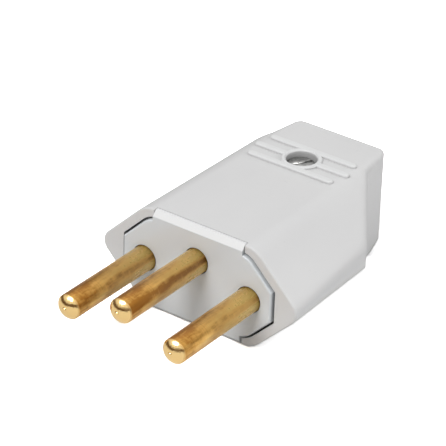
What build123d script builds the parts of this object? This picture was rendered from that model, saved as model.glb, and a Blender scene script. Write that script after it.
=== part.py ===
"""A rewirable three-pin mains plug with a six-sided face, in two screwed half shells.

X runs across the plug, Y from the pins back to the cord, and Z up. The origin is the middle of
the engagement face, level with the line and neutral pins, on the plane where the two half
shells part. All lengths are in millimetres.
"""

import os
from math import atan2, degrees, sqrt

from build123d import *

# Outline of the casing, over its outside
face_width = 35.3
face_height = 17.0
flat_width = 20.1
cord_end_flat_width = 18.6
tip_height = 1.8
body_length = 38.0
rim_setback = 0.5
shoulder_width = 32.3
shoulder_y = 21.0
neck_width = 18.4
neck_length = 7.0
cord_end_width = 16.4
heel_length = 5.4
heel_rise = 1.9

# Rounded edges of the casing
top_corner_radius = 4.0
tip_radius = 2.0
neck_radius = 5.0
plan_corner_radius = 1.6
edge_radius = 0.7
rim_edge_radius = 0.3

# Shell walls and the tongue that lines the two halves up
wall = 1.5
rim_depth = 2.0
tongue_inset = 0.8
tongue_height = 0.8
tongue_gap = 0.05
stop_thickness = 1.2
stop_drop = 2.8
stop_notch_width = 6.6

# Carrier that fills the face and holds the pins
rim_side = 4.2
rim_top = 1.55
rim_slant = 1.87
rim_gap = 0.35
carrier_corner_radius = 3.4
carrier_edge_radius = 0.3
tab_width = 16.2
tab_depth = 1.2
tab_gap = 0.12
bevel_depth = 0.76
bevel_drop = 0.93
flange_depth = 1.5
flange_gap = 0.1
block_step = 0.5
block_depth = 12.0
pocket_gap = 0.1

# Pins
pin_pitch = 19.0
earth_offset = 3.0
pin_radius = 2.0
pin_length = 19.0
pin_nose_radius = 0.95
pin_cap_radius = 4.5
nib_radius = 0.3
nib_height = 0.12
relief_radius = 1.8
relief_depth = 0.8
mouth_gap = 0.13
seat_radius = 2.25
seat_gap = 0.04
seat_depth = 4.4
barrel_radius = 2.75
barrel_length = 9.0
wire_radius = 1.6
wire_depth = 7.0
terminal_screw_setback = 4.6

# Terminal screws
terminal_thread_radius = 1.3
terminal_head_radius = 2.0
terminal_head_height = 1.0
terminal_screw_reach = 1.9
head_access_gap = 0.35

# Casing screw, its nut and the posts that it draws together
screw_setback = 11.3
screw_thread_radius = 1.5
screw_head_radius = 2.0
screw_head_height = 1.6
screw_sink = 1.1
screw_slot_angle = 58.0
slot_width = 0.6
slot_depth = 0.6
screw_hole_radius = 2.45
screw_play = 0.1
post_radius = 4.2
nut_across_flats = 5.5
nut_thickness = 2.4
nut_sink = 1.0
nut_gap = 0.1
collar_width = 0.75
mouth_chamfer = 0.2

# Grip ribs on the top
rib_pitch = 3.15
rib_width = 1.2
rib_height = 0.45
rib_edge_radius = 0.29
rib_lengths = (15.6, 17.2, 15.8)

# Cord inlet and clamp
cord_radius = 3.4
inlet_play = 0.35
inlet_depth = 2.5
clamp_setback = 5.1
clamp_length = 14.0
clamp_depth = 3.4
clamp_thickness = 2.0
clamp_arch = 1.5
clamp_height = 2.4
clamp_screw_spacing = 10.6
clamp_boss_radius = 1.85
clamp_thread_radius = 1.1
clamp_thread_length = 6.0
clamp_head_radius = 1.6
clamp_head_height = 1.2
clamp_screw_play = 0.15
cradle_thickness = 2.0

# Places that follow from the sizes above
half_height = face_height / 2
top_inside = half_height - wall
neck_y = body_length - neck_length
screw_y = body_length - screw_setback
clamp_y = body_length - clamp_setback
rim_back = rim_setback + rim_depth
block_back = rim_back + flange_depth + block_depth
pin_places = {
    "line": (-pin_pitch / 2, 0.0),
    "neutral": (pin_pitch / 2, 0.0),
    "earth": (0.0, earth_offset),
}
terminal_screw_y = seat_depth + terminal_screw_setback
screw_head_top = half_height - screw_sink
screw_seat = screw_head_top - screw_head_height
nut_bottom = nut_sink - half_height
nut_top = nut_bottom + nut_thickness
boss_top = clamp_height
inlet_radius = cord_radius + inlet_play


def across(y):
    """The plane at a depth y, drawn as (x, z) and facing the pins."""
    return Plane.XZ.offset(-y)


def block(x, y, z):
    """A box from its ranges along the three axes."""
    low, high = (x[0], y[0], z[0]), (x[1], y[1], z[1])
    size = [b - a for a, b in zip(low, high)]
    return Pos(*low) * Box(*size, align=(Align.MIN, Align.MIN, Align.MIN))


def rod_y(radius, y, x=0.0, z=0.0):
    """A round rod along Y between two depths."""
    return extrude(across(y[0]) * Pos(x, z) * Circle(radius), -(y[1] - y[0]))


def rod_z(radius, z, x=0.0, y=0.0):
    """A round rod along Z between two heights."""
    return Pos(x, y, z[0]) * Cylinder(radius, z[1] - z[0], align=(Align.CENTER, Align.CENTER, Align.MIN))


def upper_half(solid):
    return split(solid, Plane.XY, keep=Keep.TOP)


def lower_half(solid):
    return split(solid, Plane.XY, keep=Keep.BOTTOM)


def flank(side, up, inset):
    """The plane of one slanting flank, facing out, through the edges of the flat and the side."""
    start = Vector(side * flat_width / 2, rim_setback, up * half_height)
    slant = Vector(side * face_width / 2, rim_setback, up * tip_height / 2) - start
    along = Vector(side * cord_end_flat_width / 2, body_length, up * half_height) - start
    return Plane(start, x_dir=along, z_dir=slant.cross(along) * side * up).offset(-inset)


def slanted_bar(inset):
    """A bar flat on top and below, whose four flanks slant out and close in slowly to the cord."""
    height = half_height - inset
    bar = block((-face_width / 2, face_width / 2), (rim_setback, body_length), (-height, height))
    for side in (-1, 1):
        for up in (-1, 1):
            bar = split(bar, flank(side, up, inset), keep=Keep.BOTTOM)
    if inset:
        return bar
    corners = [e for e in bar.edges() if abs(e.tangent_at(0.5).Y) > 0.9 and abs(e.center().Z) > height - 0.001]
    return fillet(corners, top_corner_radius)


def plan(inset):
    """The outline from above: sides that close in a little, then shoulders and a narrow neck."""
    right = [
        (face_width / 2, rim_setback),
        (shoulder_width / 2, shoulder_y),
        (neck_width / 2, neck_y),
        (cord_end_width / 2, body_length),
    ]
    left = [(-x, y) for x, y in reversed(right)]
    outline = make_face(Polyline(*right, *left, close=True))
    if inset:
        return offset(outline, -inset, kind=Kind.INTERSECTION)
    for row, radius in ((neck_y, neck_radius), (body_length, plan_corner_radius)):
        corners = [v for v in outline.vertices() if abs(v.Y - row) < 0.001]
        outline = fillet(corners, radius)
    return outline


def side(inset):
    """The outline from the side: level, with a heel that rises towards the cord end."""
    points = [
        (rim_setback, half_height),
        (rim_setback, -half_height),
        (body_length - heel_length, -half_height),
        (body_length, heel_rise - half_height),
        (body_length, half_height),
    ]
    outline = make_face(Polyline(*points, close=True))
    if inset:
        outline = offset(outline, -inset, kind=Kind.INTERSECTION)
    return Plane.YZ * outline


def outline_block(inset):
    """The outline from above as a block, with soft edges at the neck and a heel that rises."""
    block = extrude(plan(inset), half_height - inset, both=True)
    if not inset:
        lying = [e for e in block.edges() if abs(e.center().Z) > half_height / 2]
        neck = [e for e in lying if e.center().Y > shoulder_y]
        block = fillet(neck, edge_radius)
    return block & extrude(side(inset), face_width, both=True)


def casing_form(inset=0.0):
    """The whole casing as one solid, moved in by an inset all round."""
    return slanted_bar(inset) & outline_block(inset)


def rounded_casing():
    """The casing's outside with its side edges and the rim at its face rounded over."""
    form = casing_form()
    sides = [e for e in form.edges() if abs(e.center().X) > shoulder_width / 2]
    form = fillet([e for e in sides if e.length > shoulder_y / 2], tip_radius)
    rim = form.faces().sort_by(Axis.Y)[0].edges()
    return fillet(rim, rim_edge_radius)


def carrier_outline():
    """The carrier's eight-sided front, set in from the casing's outline by the rim's widths."""
    side = face_width / 2 - rim_side
    top = half_height - rim_top
    slant = flat_width / 2 + half_height - rim_slant * sqrt(2)
    right = [(slant - top, top), (side, slant - side), (side, side - slant), (slant - top, -top)]
    left = [(-x, z) for x, z in reversed(right)]
    outline = make_face(Polyline(*right, *left, close=True))
    corners = [v for v in outline.vertices() if abs(v.Y) > top - 0.01]
    return fillet(corners, carrier_corner_radius)


def tab_slab(gap):
    """The carrier's tabs, top and bottom, as one slab behind the bevels."""
    half_width = tab_width / 2 + gap
    return block((-half_width, half_width), (0, tab_depth + gap), (-half_height, half_height))


def casing_opening():
    """What the carrier's front needs cut through the rim of the closed casing."""
    hole = offset(carrier_outline(), rim_gap)
    return extrude(across(0) * hole, -rim_back) + tab_slab(tab_gap)


def shell_blank():
    """The closed casing, hollow, with the face opening and the cord inlet through it."""
    cavity = casing_form(wall) & block(
        (-face_width, face_width), (rim_back, body_length), (-face_height, face_height)
    )
    inlet_ring = rod_y(inlet_radius + wall, (body_length - inlet_depth, body_length - wall / 2))
    inlet = rod_y(inlet_radius, (clamp_y, body_length + 1))
    return rounded_casing() - casing_opening() - (cavity - inlet_ring) - inlet


def tongue(gap):
    """The ring along the parting plane that stands on the lower shell and enters the upper."""
    ring = casing_form(tongue_inset - gap) - casing_form(wall)
    height = tongue_height + gap
    zone = block((-face_width, face_width), (rim_back, body_length), (0, height))
    return (ring & zone) - rod_y(inlet_radius, (clamp_y, body_length))


def inside(feature):
    """A feature of the inside, kept from breaking through the outer skin."""
    return feature & casing_form(wall / 2)


def carrier_stop(side, notch):
    """The rib behind the carrier, on the roof or the floor."""
    tall = sorted((side * (top_inside - stop_drop), side * half_height))
    depth = (block_back, block_back + stop_thickness)
    rib = block((-flat_width / 2, flat_width / 2), depth, tall)
    if notch:
        rib -= block((-stop_notch_width / 2, stop_notch_width / 2), depth, tall)
    return inside(rib)


def grip_ribs():
    """Three raised bars across the top, round-ended, with softened tops."""
    ribs = []
    for row, length in zip((-1, 0, 1), rib_lengths):
        reach = (length - rib_width) / 2
        bar = block((-reach, reach), (-rib_width / 2, rib_width / 2), (0, rib_height))
        for side in (-reach, reach):
            bar += rod_z(rib_width / 2, (0, rib_height), x=side)
        bar = fillet(bar.faces().sort_by(Axis.Z)[-1].edges(), rib_edge_radius)
        ribs.append(Pos(0, screw_y + row * rib_pitch, half_height) * bar)
    return ribs


def screw_collar():
    """The raised ring round the screw hole, as high as the ribs that it joins."""
    collar = rod_z(screw_hole_radius + collar_width, (half_height - wall / 2, half_height + rib_height), y=screw_y)
    return chamfer(collar.faces().sort_by(Axis.Z)[-1].edges(), mouth_chamfer)


def screw_way():
    """The way down to the screw's seat, a little wider at its mouth."""
    mouth = half_height + rib_height
    flare = Cone(
        screw_hole_radius,
        screw_hole_radius + mouth_chamfer,
        mouth_chamfer,
        align=(Align.CENTER, Align.CENTER, Align.MAX),
    )
    return rod_z(screw_hole_radius, (screw_seat, mouth), y=screw_y) + Pos(0, screw_y, mouth) * flare


def upper_shell():
    """Top half: ribs and a sunk screw seat outside, a post and a carrier stop inside."""
    shell = upper_half(shell_blank())
    shell -= tongue(tongue_gap)
    shell += inside(rod_z(post_radius, (0, half_height), y=screw_y))
    shell += carrier_stop(1, notch=True)
    for raised in [screw_collar(), *grip_ribs()]:
        shell += raised
    shell -= screw_way()
    return shell - rod_z(screw_thread_radius + screw_play, (0, screw_seat), y=screw_y)


def nut_prism(gap, z):
    """The nut's six-sided form between two heights."""
    outline = RegularPolygon((nut_across_flats + gap) / 2, 6, major_radius=False)
    return Pos(0, screw_y, z[0]) * extrude(outline, z[1] - z[0])


def clamp_screw_places():
    return [(side * clamp_screw_spacing / 2, clamp_y) for side in (-1, 1)]


def lower_shell():
    """Bottom half: tongue, post with the nut's pocket, carrier stop, cord cradle and clamp bosses."""
    shell = lower_half(shell_blank())
    shell += tongue(0)
    shell += inside(rod_z(post_radius, (-half_height, 0), y=screw_y))
    shell += carrier_stop(-1, notch=False)
    half = cradle_thickness / 2
    reach = clamp_screw_spacing / 2
    cradle = block((-reach, reach), (clamp_y - half, clamp_y + half), (-half_height, -cord_radius / 4))
    shell += inside(cradle) - rod_y(cord_radius, (shoulder_y, body_length))
    for x, y in clamp_screw_places():
        boss = inside(rod_z(clamp_boss_radius, (-half_height, boss_top), x, y))
        shell += boss - rod_z(clamp_thread_radius, (boss_top - clamp_thread_length, boss_top), x, y)
        shell -= rod_z(clamp_thread_radius, (boss_top - clamp_thread_length, boss_top), x, y)
    shell -= rod_z(screw_thread_radius + screw_play, (nut_top, 0), y=screw_y)
    return shell - nut_prism(nut_gap, (-half_height, nut_top))


def pin_carrier():
    """Moulded insert: bevelled tabs at the face, ears behind the rim, and a block for the terminals."""
    outline = carrier_outline()
    front = extrude(across(0) * outline, -rim_back)
    front = fillet(front.faces().sort_by(Axis.Y)[0].edges(), carrier_edge_radius)
    profile = Polyline(
        (0, 0),
        (tab_depth, 0),
        (tab_depth, half_height),
        (bevel_depth, half_height),
        (0, half_height - bevel_drop),
        close=True,
    )
    tab = extrude(Plane.YZ * make_face(profile), tab_width / 2, both=True)
    tabs = tab + mirror(tab, Plane.XY)
    ears = casing_form(wall + flange_gap) & block(
        (-face_width, face_width), (rim_back, rim_back + flange_depth), (-face_height, face_height)
    )
    rear = extrude(across(rim_back) * offset(outline, -block_step), rim_back - block_back)
    carrier = front + tabs + ears + rear
    for x, z in pin_places.values():
        carrier -= rod_y(pin_radius + mouth_gap, (0, relief_depth), x, z)
        carrier -= rod_y(seat_radius + seat_gap, (relief_depth, seat_depth), x, z)
        carrier -= rod_y(barrel_radius + pocket_gap, (seat_depth, block_back), x, z)
        access = rod_z(terminal_head_radius + head_access_gap, (z, half_height), x, terminal_screw_y)
        carrier -= access
    return carrier


def pin(x, z):
    """One turned brass pin: domed nose, shank, relief at the face, seat, and a terminal barrel."""
    cap_y = nib_height - pin_length
    cap_centre_y = cap_y + pin_cap_radius
    nose_x = pin_radius - pin_nose_radius
    nose_y = cap_centre_y - sqrt((pin_cap_radius - pin_nose_radius) ** 2 - nose_x**2)
    turn = degrees(atan2(nose_x, cap_centre_y - nose_y))
    barrel_end = seat_depth + barrel_length
    cap = CenterArc((0, cap_centre_y), pin_cap_radius, -90, turn)
    nose = CenterArc((nose_x, nose_y), pin_nose_radius, turn - 90, 90 - turn)
    side = Polyline(
        (pin_radius, nose_y),
        (pin_radius, 0),
        (relief_radius, 0),
        (relief_radius, relief_depth),
        (seat_radius, relief_depth),
        (seat_radius, seat_depth),
        (barrel_radius, seat_depth),
        (barrel_radius, barrel_end),
        (0, barrel_end),
        (0, cap_y),
    )
    turned = revolve(make_face(cap + nose + side), Axis.Y)
    turned += rod_y(nib_radius, (-pin_length, cap_y + nib_height))
    turned -= rod_y(wire_radius, (barrel_end - wire_depth, barrel_end))
    turned -= rod_z(terminal_thread_radius, (0, barrel_radius), y=terminal_screw_y)
    return Pos(x, 0, z) * turned


def slotted_screw(thread_radius, thread_length, head_radius, head_height, slot_angle=0.0):
    """A slotted cheese-head screw standing on z = 0 with its thread below."""
    head = rod_z(head_radius, (0, head_height))
    head = chamfer(head.faces().sort_by(Axis.Z)[-1].edges(), head_height / 6)
    cut = min(slot_depth, head_height * 0.6)
    slot = block((-head_radius, head_radius), (-slot_width / 2, slot_width / 2), (head_height - cut, head_height))
    screw = head - Rot(0, 0, slot_angle) * slot
    return screw + rod_z(thread_radius, (-thread_length, 0))


def terminal_screw(x, z):
    """The small screw that presses the wire inside one pin's barrel."""
    length = barrel_radius - wire_radius + terminal_screw_reach
    screw = slotted_screw(terminal_thread_radius, length, terminal_head_radius, terminal_head_height)
    return Pos(x, terminal_screw_y, z + barrel_radius) * screw


def casing_screw():
    """The long screw from the top, through both posts, into the nut."""
    length = screw_seat - nut_bottom
    screw = slotted_screw(
        screw_thread_radius, length, screw_head_radius, screw_head_height, screw_slot_angle
    )
    return Pos(0, screw_y, screw_seat) * screw


def casing_nut():
    """The six-sided nut held in the pocket of the lower shell."""
    nut = nut_prism(0, (nut_bottom, nut_top))
    return nut - rod_z(screw_thread_radius, (nut_bottom, nut_top), y=screw_y)


def cord_clamp():
    """The bridge over the cord: two feet on the bosses and an arch between them."""
    depth = (clamp_y - clamp_depth / 2, clamp_y + clamp_depth / 2)
    feet = block((-clamp_length / 2, clamp_length / 2), depth, (boss_top, boss_top + clamp_thickness))
    arch = rod_y(cord_radius + clamp_arch, depth)
    arch = arch & block((-clamp_length, clamp_length), depth, (boss_top, face_height))
    bridge = feet + arch - rod_y(cord_radius, depth)
    for x, y in clamp_screw_places():
        bridge -= rod_z(clamp_thread_radius + clamp_screw_play, (boss_top, face_height), x, y)
    return bridge


def cord_clamp_screw(x, y):
    """One of the two screws that hold the bridge down on the lower shell."""
    length = clamp_thickness + clamp_thread_length - clamp_screw_play
    screw = slotted_screw(clamp_thread_radius, length, clamp_head_radius, clamp_head_height)
    return Pos(x, y, boss_top + clamp_thickness) * screw


def pieces():
    """Every piece of the plug by its node's name."""
    made = {
        "upper_shell": upper_shell(),
        "lower_shell": lower_shell(),
        "pin_carrier": pin_carrier(),
        "casing_screw": casing_screw(),
        "casing_nut": casing_nut(),
        "cord_clamp": cord_clamp(),
    }
    for name, (x, z) in pin_places.items():
        made[f"{name}_pin"] = pin(x, z)
        made[f"{name}_terminal_screw"] = terminal_screw(x, z)
    for side, place in zip(("left", "right"), clamp_screw_places()):
        made[f"cord_clamp_screw_{side}"] = cord_clamp_screw(*place)
    return made


os.makedirs("parts", exist_ok=True)
for name, piece in pieces().items():
    piece.label = name
    export_step(piece, f"parts/{name}.step")
    print(name, round(piece.volume, 2))
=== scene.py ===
"""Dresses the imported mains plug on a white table: brass pins, moulded casing and steel screws."""
import math

import bpy
from mathutils import Matrix, Vector


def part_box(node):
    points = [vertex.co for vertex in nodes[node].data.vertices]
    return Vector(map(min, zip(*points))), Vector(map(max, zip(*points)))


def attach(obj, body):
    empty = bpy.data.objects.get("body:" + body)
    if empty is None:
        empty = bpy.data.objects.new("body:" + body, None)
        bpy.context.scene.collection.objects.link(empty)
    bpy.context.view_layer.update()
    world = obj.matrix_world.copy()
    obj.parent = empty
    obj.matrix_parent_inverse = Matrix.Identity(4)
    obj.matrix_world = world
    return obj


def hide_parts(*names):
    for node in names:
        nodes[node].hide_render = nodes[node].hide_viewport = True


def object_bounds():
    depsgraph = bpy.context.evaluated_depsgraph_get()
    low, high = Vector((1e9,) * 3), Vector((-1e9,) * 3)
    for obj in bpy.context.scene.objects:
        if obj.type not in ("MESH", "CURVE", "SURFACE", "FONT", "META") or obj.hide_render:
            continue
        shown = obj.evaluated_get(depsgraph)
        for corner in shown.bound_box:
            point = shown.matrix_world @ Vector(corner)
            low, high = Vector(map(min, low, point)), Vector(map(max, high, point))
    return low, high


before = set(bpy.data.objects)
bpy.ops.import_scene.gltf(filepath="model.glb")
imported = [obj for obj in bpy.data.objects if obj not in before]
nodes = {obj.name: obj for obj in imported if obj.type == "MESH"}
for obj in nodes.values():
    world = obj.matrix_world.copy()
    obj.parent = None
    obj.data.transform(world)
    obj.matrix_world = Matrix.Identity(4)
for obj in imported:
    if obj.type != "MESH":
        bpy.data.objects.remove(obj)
cad_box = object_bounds()


# Three contact pins, turned from brass rod. The shank keeps fine rings from the tool and was then
# drawn through a felt wheel, which leaves streaks along it. The domed nose is polished bright, and
# the barrel inside the casing takes the wire. Each is held in the insert by its seat.
pin_places = {"line_pin": (-0.0095, 0.0), "neutral_pin": (0.0095, 0.0), "earth_pin": (0.0, 0.003)}
# How dark the painted reflection band along each pin is.
pin_reflection_bands = {"line_pin": 0.10, "neutral_pin": 0.07, "earth_pin": 0.16}
pin_radius = 0.002
pin_length = -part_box("line_pin")[0].y
touch = 0.00001
weld = 0.000001
on_surface = 0.999
nib_radius = 0.0003
nib_height = 0.00012
nib_corner = (0.94, 0.2)
nib_flat = 0.75
dome_radius = 0.00246
dome_edge_radius = 0.00025
dome_edge_steps = 4
dome_cap_steps = 12
pin_crease = math.radians(32.0)
brass_deep = (0.36, 0.15, 0.020, 1.0)
brass_warm = (0.80, 0.46, 0.115, 1.0)
brass_light = (0.92, 0.63, 0.19, 1.0)
brass_bright = (0.88, 0.62, 0.27, 1.0)
brass_stops = [(0.40, brass_deep), (0.49, brass_warm), (0.60, brass_light)]
dull_tone = 0.40
bright_tone = 0.60
dull_roughness = 0.38
bright_roughness = 0.25
nose_roughness = 0.17
# Painted reflection: the pins' colour is painted lighter underneath, as if mirroring the white
# table, and painted shade darkens their tops.
under_painted_reflection = 0.035
upper_painted_shade = -0.02
# Painted light: the pins' colour is painted paler towards the root, where they sit in shade, and a
# little darker further out.
outer_painted_shade = -0.03
root_painted_light = 0.09
root_light_reach = 0.7
# Painted reflection: a dark band painted along one side of each pin, turned this far from the top.
band_turn = math.radians(62.0)
band_start = 0.88
polish_start = 0.45
polish_edge = 0.0002
scratch_depth = 0.5
brass_relief = 0.22
worn_start = 0.6
worn_end = 0.002
worn_metal = 0.84
root_metal = 0.25
fine_relief = 0.00002
cloud_range = (0.3, 0.7)
mix_sockets = {"FLOAT": (2, 3, 0), "VECTOR": (4, 5, 1), "RGBA": (6, 7, 2)}

# Each kind of mark on the brass: its share of the tone, its stretch, its detail and roughness.
brass_marks = {
    "streaks": (0.45, (420.0, 34.0, 420.0), 2.0, 0.45),
    "tarnish": (0.25, (300.0, 300.0, 300.0), 5.0, 0.6),
    "scratches": (0.20, (1500.0, 260.0, 1500.0), 4.0, 0.65),
    "rings": (0.10, (90.0, 6500.0, 90.0), 3.0, 0.6),
}


def own_place(tree):
    """The piece's own coordinates."""
    return tree.nodes.new("ShaderNodeTexCoord").outputs["Object"]


def start_surface(name, shader_type, socket):
    """A new material with one shader: itself, its tree and its shader."""
    material = bpy.data.materials.new(name)
    material.use_nodes = True
    tree = material.node_tree
    tree.nodes.clear()
    output = tree.nodes.new("ShaderNodeOutputMaterial")
    shader = tree.nodes.new(shader_type)
    tree.links.new(shader.outputs[socket], output.inputs["Surface"])
    return material, tree, shader


def start_material(name):
    """A new material for a real piece: itself, its tree, its shader and the piece's coordinates."""
    material, tree, shader = start_surface(name, "ShaderNodeBsdfPrincipled", "BSDF")
    return material, tree, shader, own_place(tree)


def moved(tree, place, location=(0.0, 0.0, 0.0), scale=(1.0, 1.0, 1.0)):
    """The coordinates centred on a place and then stretched."""
    mapping = tree.nodes.new("ShaderNodeMapping")
    mapping.vector_type = "POINT"
    mapping.inputs["Location"].default_value = tuple(-a * b for a, b in zip(location, scale))
    mapping.inputs["Scale"].default_value = scale
    tree.links.new(place, mapping.inputs["Vector"])
    return mapping.outputs["Vector"]


def parts_of(tree, vector):
    """The X, Y and Z of a place or a direction."""
    node = tree.nodes.new("ShaderNodeSeparateXYZ")
    tree.links.new(vector, node.inputs["Vector"])
    return node.outputs


def cloud(tree, place, scale, detail=3.0, roughness=0.5):
    """Soft random light and dark, from 0 to 1."""
    noise = tree.nodes.new("ShaderNodeTexNoise")
    noise.inputs["Scale"].default_value = scale
    noise.inputs["Detail"].default_value = detail
    noise.inputs["Roughness"].default_value = roughness
    tree.links.new(place, noise.inputs["Vector"])
    return noise.outputs["Fac"]


def stepped(tree, value, stops):
    """Turns a value from 0 to 1 into a colour by stops of place and colour."""
    ramp = tree.nodes.new("ShaderNodeValToRGB")
    elements = ramp.color_ramp.elements
    while len(elements) < len(stops):
        elements.new(0.5)
    for element, (position, colour) in zip(elements, stops):
        element.position = position
        element.color = colour
    tree.links.new(value, ramp.inputs["Fac"])
    return ramp.outputs["Color"]


def between(tree, value, low, high, new_low, new_high):
    """Stretches a value's range from low..high to a new range, and keeps it inside."""
    node = tree.nodes.new("ShaderNodeMapRange")
    tree.links.new(value, node.inputs["Value"])
    ends = {"From Min": low, "From Max": high, "To Min": new_low, "To Max": new_high}
    for socket, number in ends.items():
        node.inputs[socket].default_value = number
    return node.outputs["Result"]


def feed(tree, sockets, sources):
    """Gives each socket its source, which is a number, a colour or another node's output."""
    for socket, source in zip(sockets, sources):
        if isinstance(source, (float, tuple)):
            socket.default_value = source
        else:
            tree.links.new(source, socket)


def combine(tree, operation, first, second=0.0):
    """One value from two, by adding, multiplying or the like."""
    node = tree.nodes.new("ShaderNodeMath")
    node.operation = operation
    feed(tree, node.inputs, (first, second))
    return node.outputs["Value"]


def mixed(tree, share, first, second, kind="RGBA"):
    """Two colours, numbers or directions mixed by a share."""
    node = tree.nodes.new("ShaderNodeMix")
    node.data_type = kind
    low, high, out = mix_sockets[kind]
    sockets = (node.inputs["Factor"], node.inputs[low], node.inputs[high])
    feed(tree, sockets, (share, first, second))
    return node.outputs[out]


def relief(tree, shader, height, strength, distance):
    """Fine height on the surface, without changing its outline."""
    bump = tree.nodes.new("ShaderNodeBump")
    bump.inputs["Strength"].default_value = strength
    bump.inputs["Distance"].default_value = distance
    tree.links.new(height, bump.inputs["Height"])
    tree.links.new(bump.outputs["Normal"], shader.inputs["Normal"])


def give_only(piece, material):
    """The piece has this material and no other."""
    piece.data.materials.clear()
    piece.data.materials.append(material)


def merged_copy(node_name, name):
    """A copy of a solid from the frame with its loose triangles joined, to be shaped further."""
    piece = nodes[node_name].copy()
    piece.data = nodes[node_name].data.copy()
    piece.name = name
    bpy.context.scene.collection.objects.link(piece)
    bpy.ops.object.select_all(action="DESELECT")
    piece.select_set(True)
    bpy.context.view_layer.objects.active = piece
    bpy.ops.object.mode_set(mode="EDIT")
    bpy.ops.mesh.select_all(action="SELECT")
    bpy.ops.mesh.remove_doubles(threshold=weld)
    bpy.ops.object.mode_set(mode="OBJECT")
    return piece


def pick_points(piece, wanted):
    """Selects the piece's points that the test wants, and no others, in edit mode."""
    bpy.ops.object.mode_set(mode="EDIT")
    bpy.ops.mesh.select_mode(type="VERT")
    bpy.ops.mesh.select_all(action="DESELECT")
    bpy.ops.object.mode_set(mode="OBJECT")
    for vertex in piece.data.vertices:
        vertex.select = wanted(vertex.co)
    bpy.ops.object.mode_set(mode="EDIT")


def stand_for(piece, node_name):
    """The piece takes the node's place: the node is hidden and the piece joins the root body."""
    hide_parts(node_name)
    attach(piece, "root")


def dome_rings():
    """Radius and distance along the pin of each ring from the shank's end to the nib's flat."""
    centre_y = nib_height - pin_length + dome_radius
    edge_x = pin_radius - dome_edge_radius
    reach = dome_radius - dome_edge_radius
    edge_y = centre_y - math.sqrt(reach**2 - edge_x**2)
    lean = math.asin(edge_x / reach)
    rings = []
    for step in range(dome_edge_steps + 1):
        angle = math.pi / 2 + (lean - math.pi / 2) * step / dome_edge_steps
        radius = edge_x + dome_edge_radius * math.sin(angle)
        rings.append((radius, edge_y - dome_edge_radius * math.cos(angle)))
    last = math.asin(nib_radius / dome_radius)
    for step in range(1, dome_cap_steps + 1):
        angle = lean + (last - lean) * step / dome_cap_steps
        rings.append((dome_radius * math.sin(angle), centre_y - dome_radius * math.cos(angle)))
    corner_radius, corner_height = nib_corner
    rings.append((nib_radius * corner_radius, nib_height * corner_height - pin_length))
    rings.append((nib_radius * nib_flat, -pin_length))
    return rings


def round_the_nose(piece, x, z):
    """Takes the pin's plain end off at the shank's last ring and draws a domed one out of it."""
    points = [vertex.co for vertex in piece.data.vertices]
    outside = [p.y for p in points if math.hypot(p.x - x, p.z - z) > pin_radius * on_surface]
    shank_end = min(outside)
    pick_points(piece, lambda place: place.y < shank_end - touch)
    bpy.ops.mesh.delete(type="VERT")
    pick_points(piece, lambda place: place.y < shank_end + touch)
    radius, along = pin_radius, shank_end
    for next_radius, next_along in dome_rings()[1:]:
        step = (0.0, next_along - along, 0.0)
        bpy.ops.mesh.extrude_edges_move(TRANSFORM_OT_translate={"value": step})
        share = next_radius / radius
        middle = (x, next_along, z)
        bpy.ops.transform.resize(value=(share, 1.0, share), center_override=middle)
        radius, along = next_radius, next_along
    bpy.ops.mesh.edge_face_add()
    bpy.ops.mesh.select_all(action="SELECT")
    bpy.ops.mesh.normals_make_consistent(inside=False)
    bpy.ops.object.mode_set(mode="OBJECT")
    bpy.ops.object.shade_smooth_by_angle(angle=pin_crease)


def turned_brass(name, x, z, band_depth):
    """Bare brass: fine rings across, soft streaks along, some tarnish, a bright nose, painted light
    and shade.
    """
    material, tree, shader, place = start_material(name)
    centre = (x, 0.0, z)
    axis = moved(tree, place, centre)
    parts = parts_of(tree, axis)
    tone = None
    marks = {}
    for mark, (share, stretch, detail, roughness) in brass_marks.items():
        marks[mark] = cloud(tree, moved(tree, place, centre, stretch), 1.0, detail, roughness)
        part = combine(tree, "MULTIPLY", marks[mark], share)
        tone = part if tone is None else combine(tree, "ADD", tone, part)
    # Painted reflection and shade: the colour is paler on the pin's underside and darker on its
    # top.
    painted_underside_light = between(tree, parts["Z"], -pin_radius, pin_radius, under_painted_reflection, upper_painted_shade)
    tone = combine(tree, "ADD", tone, painted_underside_light)
    # Painted light: paler towards the root, where the pin sits in shade, and a little darker
    # further out.
    root_start = -pin_length * root_light_reach
    painted_root_light = between(tree, parts["Y"], root_start, 0.0, outer_painted_shade, root_painted_light)
    tone = combine(tree, "ADD", tone, painted_root_light)
    # Painted reflection: darker along one side of the pin, like a mirrored dark horizon.
    side = tree.nodes.new("ShaderNodeVectorMath")
    side.operation = "DOT_PRODUCT"
    side.inputs[1].default_value = (math.sin(band_turn), 0.0, math.cos(band_turn))
    tree.links.new(axis, side.inputs[0])
    band_from = pin_radius * band_start
    painted_reflection_band = between(tree, side.outputs["Value"], band_from, pin_radius, 0.0, band_depth)
    tone = combine(tree, "SUBTRACT", tone, painted_reflection_band)
    nose_y = dome_radius * polish_start - pin_length
    nose = between(tree, parts["Y"], nose_y + polish_edge, nose_y - polish_edge, 0.0, 1.0)
    colour = mixed(tree, nose, stepped(tree, tone, brass_stops), brass_bright)
    tree.links.new(colour, shader.inputs["Base Color"])
    dull = between(tree, tone, dull_tone, bright_tone, dull_roughness, bright_roughness)
    tree.links.new(mixed(tree, nose, dull, nose_roughness, "FLOAT"), shader.inputs["Roughness"])
    shallow = combine(tree, "MULTIPLY", marks["scratches"], scratch_depth)
    height = combine(tree, "ADD", marks["rings"], shallow)
    relief(tree, shader, height, brass_relief, fine_relief)
    worn_from = -pin_length * worn_start
    metal = between(tree, parts["Y"], worn_from, -worn_end, worn_metal, root_metal)
    tree.links.new(combine(tree, "MAXIMUM", metal, nose), shader.inputs["Metallic"])
    return material


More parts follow.
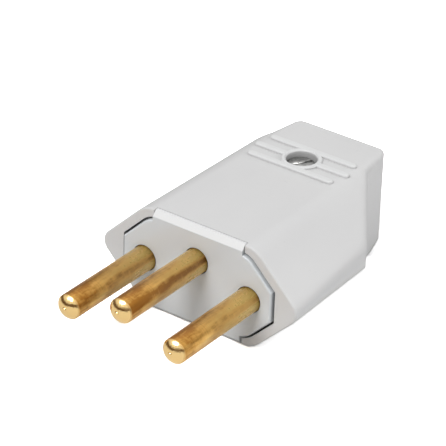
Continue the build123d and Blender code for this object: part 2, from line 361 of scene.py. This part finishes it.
for pin_name, (pin_x, pin_z) in pin_places.items():
    pin = merged_copy(pin_name, "turned_" + pin_name)
    round_the_nose(pin, pin_x, pin_z)
    give_only(pin, turned_brass("brass_of_" + pin_name, pin_x, pin_z, pin_reflection_bands[pin_name]))
    stand_for(pin, pin_name)


# Six small steel pieces: three terminal screws that press the wires in the pins' barrels, two that
# draw the cord clamp down, and the long one that joins the shells. All are slotted, turned from
# steel wire and plated with zinc, with fine rings on their heads.
zinc_light = (0.34, 0.34, 0.33, 1.0)
zinc_dark = (0.16, 0.16, 0.16, 1.0)
zinc_stops = [(0.3, zinc_dark), (0.55, zinc_light)]
zinc_dull_roughness = 0.50
zinc_bright_roughness = 0.36
zinc_spot_scale = 1400.0
zinc_ring_scale = 2200.0
zinc_ring_wobble = 1.5
zinc_ring_detail = 2.0
zinc_ring_strength = 0.15
zinc_ring_depth = 0.00001
steel_pieces = (
    "line_terminal_screw",
    "neutral_terminal_screw",
    "earth_terminal_screw",
    "cord_clamp_screw_left",
    "cord_clamp_screw_right",
    "casing_screw",
)


def middle_of(node_name):
    """The middle of a solid's box."""
    low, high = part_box(node_name)
    return (low + high) / 2


def plated_steel(name, x, y):
    """Zinc on steel, with turning rings round the screw's axis."""
    material, tree, shader, place = start_material(name)
    rings = tree.nodes.new("ShaderNodeTexWave")
    rings.wave_type = "RINGS"
    rings.rings_direction = "Z"
    rings.inputs["Scale"].default_value = zinc_ring_scale
    rings.inputs["Distortion"].default_value = zinc_ring_wobble
    rings.inputs["Detail"].default_value = zinc_ring_detail
    tree.links.new(moved(tree, place, (x, y, 0.0), (1.0, 1.0, 0.0)), rings.inputs["Vector"])
    spots = cloud(tree, place, zinc_spot_scale, 4.0, 0.6)
    tree.links.new(stepped(tree, spots, zinc_stops), shader.inputs["Base Color"])
    dull = between(tree, spots, *cloud_range, zinc_dull_roughness, zinc_bright_roughness)
    tree.links.new(dull, shader.inputs["Roughness"])
    relief(tree, shader, rings.outputs["Fac"], zinc_ring_strength, zinc_ring_depth)
    shader.inputs["Metallic"].default_value = 1.0
    return material


for screw_name in steel_pieces:
    screw_middle = middle_of(screw_name)
    zinc = plated_steel("zinc_of_" + screw_name, screw_middle.x, screw_middle.y)
    give_only(nodes[screw_name], zinc)


# The slotted screw that joins the two shells. Its head sits deep in the hole among the grip ribs
# and stands a little higher and wider there than the plain solid's.
head_bottom = 0.0058
head_lift = 0.0007
head_spread = 1.08
head_inner_radius = 0.0016
head_skirt = 0.0002
head_crease = math.radians(25.0)
head_y = middle_of("casing_screw").y


def at_head_side(place):
    """Whether a point is on the outer part of the screw's head."""
    far_out = math.hypot(place.x, place.y - head_y) > head_inner_radius
    return far_out and place.z > head_bottom - touch


casing_screw = merged_copy("casing_screw", "slotted_casing_screw")
pick_points(casing_screw, at_head_side)
bpy.ops.transform.resize(
    value=(head_spread, head_spread, 1.0),
    center_override=(0.0, head_y, head_bottom),
)
pick_points(casing_screw, lambda place: place.z > head_bottom + head_skirt)
bpy.ops.transform.translate(value=(0.0, 0.0, head_lift))
bpy.ops.object.mode_set(mode="OBJECT")
bpy.ops.object.shade_smooth_by_angle(angle=head_crease)
stand_for(casing_screw, "casing_screw")


# The insert that fills the face and carries the pins, injection moulded in light grey like the
# casing but from a smoother mould, so it shines a little more. The rim of the shells holds it by
# its ears. The bevel along its top edge is painted paler, as a painted highlight.
insert_grey = (0.65, 0.68, 0.705, 1.0)
insert_shade = (0.64, 0.665, 0.685, 1.0)
insert_roughness = 0.21
insert_grain = 0.00022
insert_grain_strength = 0.05
# Painted highlight: the colour of the insert's top bevel.
bevel_painted_highlight = (0.745, 0.75, 0.755, 1.0)
bevel_foot = 0.00757
bevel_fade = 0.0001
flow_scale = 110.0
flow_stretch = (1.0, 0.45, 1.0)
speck_scale = 900.0
speck_from = 0.70
speck_full = 0.78
speck_share = 0.25
speck_shade = 0.8
# Painted shade: the colour that the plastic darkens to in corners, creases and recesses.
crease_painted_shade = (0.30, 0.30, 0.295, 1.0)
crease_reach = 0.0012
crease_samples = 4
crease_deep = 0.25
crease_open = 0.9
crease_share = 0.30
smoother = 0.05
rougher = 0.07


def moulded_plastic(name, grey, shade, roughness, grain_size, grain_strength):
    """Injection-moulded plastic: faint flow clouds, fine mould grain, painted shade in its corners.
    """
    material, tree, shader, place = start_material(name)
    flow = cloud(tree, moved(tree, place, scale=flow_stretch), flow_scale)
    body = stepped(tree, flow, [(0.3, shade), (0.65, grey)])
    specks = cloud(tree, place, speck_scale, detail=2.0)
    dust = between(tree, specks, speck_from, speck_full, 0.0, speck_share)
    body = mixed(tree, dust, body, tuple(speck_shade * c for c in shade[:3]) + (1.0,))
    # Painted shade: the colour darkens where the plastic is shut in, in corners, creases and
    # recesses.
    creases = tree.nodes.new("ShaderNodeAmbientOcclusion")
    creases.samples = crease_samples
    creases.inputs["Distance"].default_value = crease_reach
    painted_crease_shade = between(tree, creases.outputs["AO"], crease_deep, crease_open, crease_share, 0.0)
    tree.links.new(mixed(tree, painted_crease_shade, body, crease_painted_shade), shader.inputs["Base Color"])
    grain = cloud(tree, place, 1.0 / grain_size, roughness=0.6)
    dull = between(tree, grain, *cloud_range, roughness - smoother, roughness + rougher)
    tree.links.new(dull, shader.inputs["Roughness"])
    relief(tree, shader, grain, grain_strength, fine_relief)
    return material, tree, shader


def paint_over(tree, shader, share, colour):
    """Lays a colour over the one that the shader has, as far as the share says."""
    below = shader.inputs["Base Color"].links[0].from_socket
    tree.links.new(mixed(tree, share, below, colour), shader.inputs["Base Color"])


insert_plastic, insert_tree, insert_shader = moulded_plastic(
    "insert_plastic",
    insert_grey,
    insert_shade,
    insert_roughness,
    insert_grain,
    insert_grain_strength,
)
insert_parts = parts_of(insert_tree, own_place(insert_tree))
# Painted highlight: the bevel along the insert's top edge is painted paler.
bevel_highlight_mask = between(insert_tree, insert_parts["Z"], bevel_foot, bevel_foot + bevel_fade, 0.0, 1.0)
paint_over(insert_tree, insert_shader, bevel_highlight_mask, bevel_painted_highlight)
give_only(nodes["pin_carrier"], insert_plastic)


# The casing's two half shells, moulded in light grey thermoplastic with a fine matt grain. The
# lower one holds the nut, the cord's cradle and the clamp; the upper one has the grip ribs and the
# sunk seat of the screw. The ribs are painted paler, as a painted highlight, and the screw's hole
# is painted darker, as painted shade.
shell_grey = (0.642, 0.642, 0.642, 1.0)
shell_shade = (0.622, 0.622, 0.624, 1.0)
shell_roughness = 0.46
shell_grain = 0.00028
shell_grain_strength = 0.16
# Painted highlight: the colour of the grip ribs' tops.
rib_painted_highlight = (0.69, 0.695, 0.695, 1.0)
rib_foot = 0.00865
rib_top = 0.0089
# Painted shade: the screw's hole is painted darker inside, below its rim.
hole_painted_shade = (0.30, 0.30, 0.30, 1.0)
hole_shade_share = 0.55
hole_wall = (0.00247, 0.00255)
hole_rim = (0.0087, 0.0083)
shell_plastic, shell_tree, shell_shader = moulded_plastic(
    "shell_plastic",
    shell_grey,
    shell_shade,
    shell_roughness,
    shell_grain,
    shell_grain_strength,
)
shell_place = own_place(shell_tree)
shell_parts = parts_of(shell_tree, shell_place)
# Painted shade: darker inside the screw's hole, below its rim.
hole_distance = shell_tree.nodes.new("ShaderNodeVectorMath")
hole_distance.operation = "LENGTH"
hole_centred = moved(shell_tree, shell_place, (0.0, head_y, 0.0), (1.0, 1.0, 0.0))
shell_tree.links.new(hole_centred, hole_distance.inputs[0])
hole_shade_mask = between(shell_tree, hole_distance.outputs["Value"], *hole_wall, hole_shade_share, 0.0)
below_rim = between(shell_tree, shell_parts["Z"], *hole_rim, 0.0, 1.0)
paint_over(shell_tree, shell_shader, combine(shell_tree, "MULTIPLY", hole_shade_mask, below_rim), hole_painted_shade)
# Painted highlight: the grip ribs are painted paler than the shell.
rib_highlight_mask = between(shell_tree, shell_parts["Z"], rib_foot, rib_top, 0.0, 1.0)
paint_over(shell_tree, shell_shader, rib_highlight_mask, rib_painted_highlight)

# The shells' shoulders are blended into the neck, so light crosses their edge without a line. The
# blend keeps to the shoulders: away from the flat top, from the face and from the parting line.
blend_radius = 0.0018
blend_samples = 8
blend_across = (0.0078, 0.0092)
blend_behind = (0.015, 0.018)
blend_above = (0.0012, 0.0024)
shoulder_blend = shell_tree.nodes.new("ShaderNodeBevel")
shoulder_blend.samples = blend_samples
shoulder_blend.inputs["Radius"].default_value = blend_radius
from_middle = combine(shell_tree, "ABSOLUTE", shell_parts["X"])
from_parting = combine(shell_tree, "ABSOLUTE", shell_parts["Z"])
on_shoulder = combine(
    shell_tree,
    "MULTIPLY",
    between(shell_tree, from_middle, *blend_across, 0.0, 1.0),
    between(shell_tree, shell_parts["Y"], *blend_behind, 0.0, 1.0),
)
clear_of_parting = between(shell_tree, from_parting, *blend_above, 0.0, 1.0)
on_shoulder = combine(shell_tree, "MULTIPLY", on_shoulder, clear_of_parting)
plain_normal = shell_tree.nodes.new("ShaderNodeNewGeometry").outputs["Normal"]
soft_normal = shoulder_blend.outputs["Normal"]
shell_normal = mixed(shell_tree, on_shoulder, plain_normal, soft_normal, "VECTOR")
shell_tree.links.new(shell_normal, shell_tree.nodes["Bump"].inputs["Normal"])
give_only(nodes["lower_shell"], shell_plastic)
give_only(nodes["upper_shell"], shell_plastic)


# The six-sided nut under the casing, cut from brass bar, left bare and a little dull.
nut_dull = (0.42, 0.27, 0.08, 1.0)
nut_clean = (0.70, 0.52, 0.22, 1.0)
nut_stops = [(0.3, nut_dull), (0.65, nut_clean)]
nut_cloud_scale = 700.0
nut_dull_roughness = 0.45
nut_clean_roughness = 0.3
nut_relief = 0.2
nut_material, nut_tree, nut_shader, nut_place = start_material("brass_of_nut")
nut_clouds = cloud(nut_tree, nut_place, nut_cloud_scale, 4.0, 0.6)
nut_colour = stepped(nut_tree, nut_clouds, nut_stops)
nut_roughness = between(
    nut_tree, nut_clouds, *cloud_range, nut_dull_roughness, nut_clean_roughness
)
nut_tree.links.new(nut_colour, nut_shader.inputs["Base Color"])
nut_tree.links.new(nut_roughness, nut_shader.inputs["Roughness"])
relief(nut_tree, nut_shader, nut_clouds, nut_relief, fine_relief)
nut_shader.inputs["Metallic"].default_value = 1.0
give_only(nodes["casing_nut"], nut_material)


# The clamp that grips the cord behind the terminals: a small moulded bridge, in the insert's
# plastic, drawn down by two screws.
give_only(nodes["cord_clamp"], insert_plastic)


# The table that the plug lies on: white, and lit past white where nothing shades it, so that only
# the shadow close to the plug shows. Metal and gloss see it as a plain white card.
table_size = 2.4
table_height = cad_box[0].z
table_white = (0.72, 0.72, 0.72, 1.0)
table_seen = (2.55, 2.55, 2.55, 1.0)
table_mirrored = (0.88, 0.88, 0.88, 1.0)
bpy.ops.mesh.primitive_plane_add(size=table_size, location=(0.0, 0.0, table_height))
table = bpy.context.object
table.name = "table"


def mirror_share(tree, path):
    """1 for what a gloss or a clear material sees, else 0."""
    glossy, clear = path.outputs["Is Glossy Ray"], path.outputs["Is Transmission Ray"]
    return combine(tree, "MAXIMUM", glossy, clear)


table_material, table_tree, table_shader = start_surface(
    "table_white", "ShaderNodeBsdfDiffuse", "BSDF"
)
table_path = table_tree.nodes.new("ShaderNodeLightPath")
table_gloss = mirror_share(table_tree, table_path)
table_colour = mixed(table_tree, table_gloss, table_white, table_mirrored)
table_camera = table_path.outputs["Is Camera Ray"]
table_colour = mixed(table_tree, table_camera, table_colour, table_seen)
table_tree.links.new(table_colour, table_shader.inputs["Color"])
give_only(table, table_material)


# Plain soft studio light: a faint white room, a strong soft box high in front with a weaker one on
# its left, a wide one on the right, and two faint ones behind.
room_white = (1.0, 1.0, 1.0, 1.0)
room_light = 0.17
room_seen_light = 1.0
lamp_distance = 1.0
world = bpy.data.worlds.new("room")
bpy.context.scene.world = world
world.use_nodes = True
world_tree = world.node_tree
background = world_tree.nodes["Background"]
background.inputs["Color"].default_value = room_white
room_path = world_tree.nodes.new("ShaderNodeLightPath")
room_gloss = mirror_share(world_tree, room_path)
room_seen = combine(world_tree, "MAXIMUM", room_path.outputs["Is Camera Ray"], room_gloss)
room_strength = between(world_tree, room_seen, 0.0, 1.0, room_light, room_seen_light)
world_tree.links.new(room_strength, background.inputs["Strength"])


def soft_box(name, azimuth, elevation, size, power):
    """A square lamp aimed at the plug from a height and a compass angle, 0 in front of the pins."""
    across = math.radians(azimuth)
    up = math.radians(elevation)
    flat = math.cos(up)
    towards = Vector((math.sin(across) * flat, -math.cos(across) * flat, math.sin(up)))
    bpy.ops.object.light_add(type="AREA", location=towards * lamp_distance)
    lamp = bpy.context.object
    lamp.name = name
    lamp.rotation_euler = towards.to_track_quat("Z", "Y").to_euler()
    lamp.data.shape = "SQUARE"
    lamp.data.size = size
    lamp.data.energy = power


soft_box("lamp_front", 2.0, 55.0, 0.42, 6.4)
soft_box("lamp_front_left", -32.0, 50.0, 0.34, 1.9)
soft_box("lamp_back_left", -150.0, 40.0, 0.5, 0.7)
soft_box("lamp_right", 116.0, 28.0, 0.8, 3.4)
soft_box("lamp_back_right", 132.0, 12.0, 0.5, 1.5)


# The studio's wall round the table: a glowing sheet that is no lamp, dark below and grey above.
# Only what is polished shows it, as a painted reflection.
wall_radius = 0.8
wall_height = 0.8
wall_sides = 96
wall_dark = (0.13, 0.085, 0.05, 1.0)
wall_grey = (0.92, 0.92, 0.92, 1.0)
wall_stops = [(0.0, wall_dark), (0.27, wall_dark), (0.46, wall_grey)]
bpy.ops.mesh.primitive_cylinder_add(
    vertices=wall_sides,
    radius=wall_radius,
    depth=wall_height,
    end_fill_type="NOTHING",
    location=(0.0, 0.0, table_height + wall_height / 2),
)
wall = bpy.context.object
wall.name = "studio_wall"
bpy.ops.object.transform_apply(location=True, rotation=False, scale=False)
wall.visible_camera = False
wall.visible_diffuse = False
wall.visible_shadow = False
wall.visible_transmission = False
# The wall glows with its own painted light, seen only in reflections.
wall_material, wall_tree, wall_glow = start_surface("wall_reflection_glow", "ShaderNodeEmission", "Emission")
wall_parts = parts_of(wall_tree, own_place(wall_tree))
wall_share = between(wall_tree, wall_parts["Z"], 0.0, wall_height, 0.0, 1.0)
wall_tree.links.new(stepped(wall_tree, wall_share, wall_stops), wall_glow.inputs["Color"])
give_only(wall, wall_material)


# The camera, where the photograph was taken from: in front on the right and above, a long lens, and
# turned a little about its own axis.
camera_azimuth = math.radians(35.165)
camera_elevation = math.radians(29.876)
camera_roll = math.radians(1.932)
camera_distance = 0.385
camera_sensor = 36.0
camera_lens = 216.07
camera_near = 0.01
camera_aim = Vector((0.0047, -0.0002, 0.0112))
bpy.ops.object.camera_add()
camera = bpy.context.object
camera.name = "camera"
turn = Matrix.Rotation(camera_azimuth, 4, "Z")
tilt = Matrix.Rotation(math.pi / 2 - camera_elevation, 4, "X")
facing = turn @ tilt @ Matrix.Rotation(camera_roll, 4, "Z")
back = facing.to_3x3() @ Vector((0.0, 0.0, 1.0))
camera.matrix_world = Matrix.Translation(camera_aim + back * camera_distance) @ facing
camera.data.sensor_width = camera_sensor
camera.data.lens = camera_lens
camera.data.clip_start = camera_near
bpy.context.scene.camera = camera
bpy.context.scene.view_settings.view_transform = "Standard"
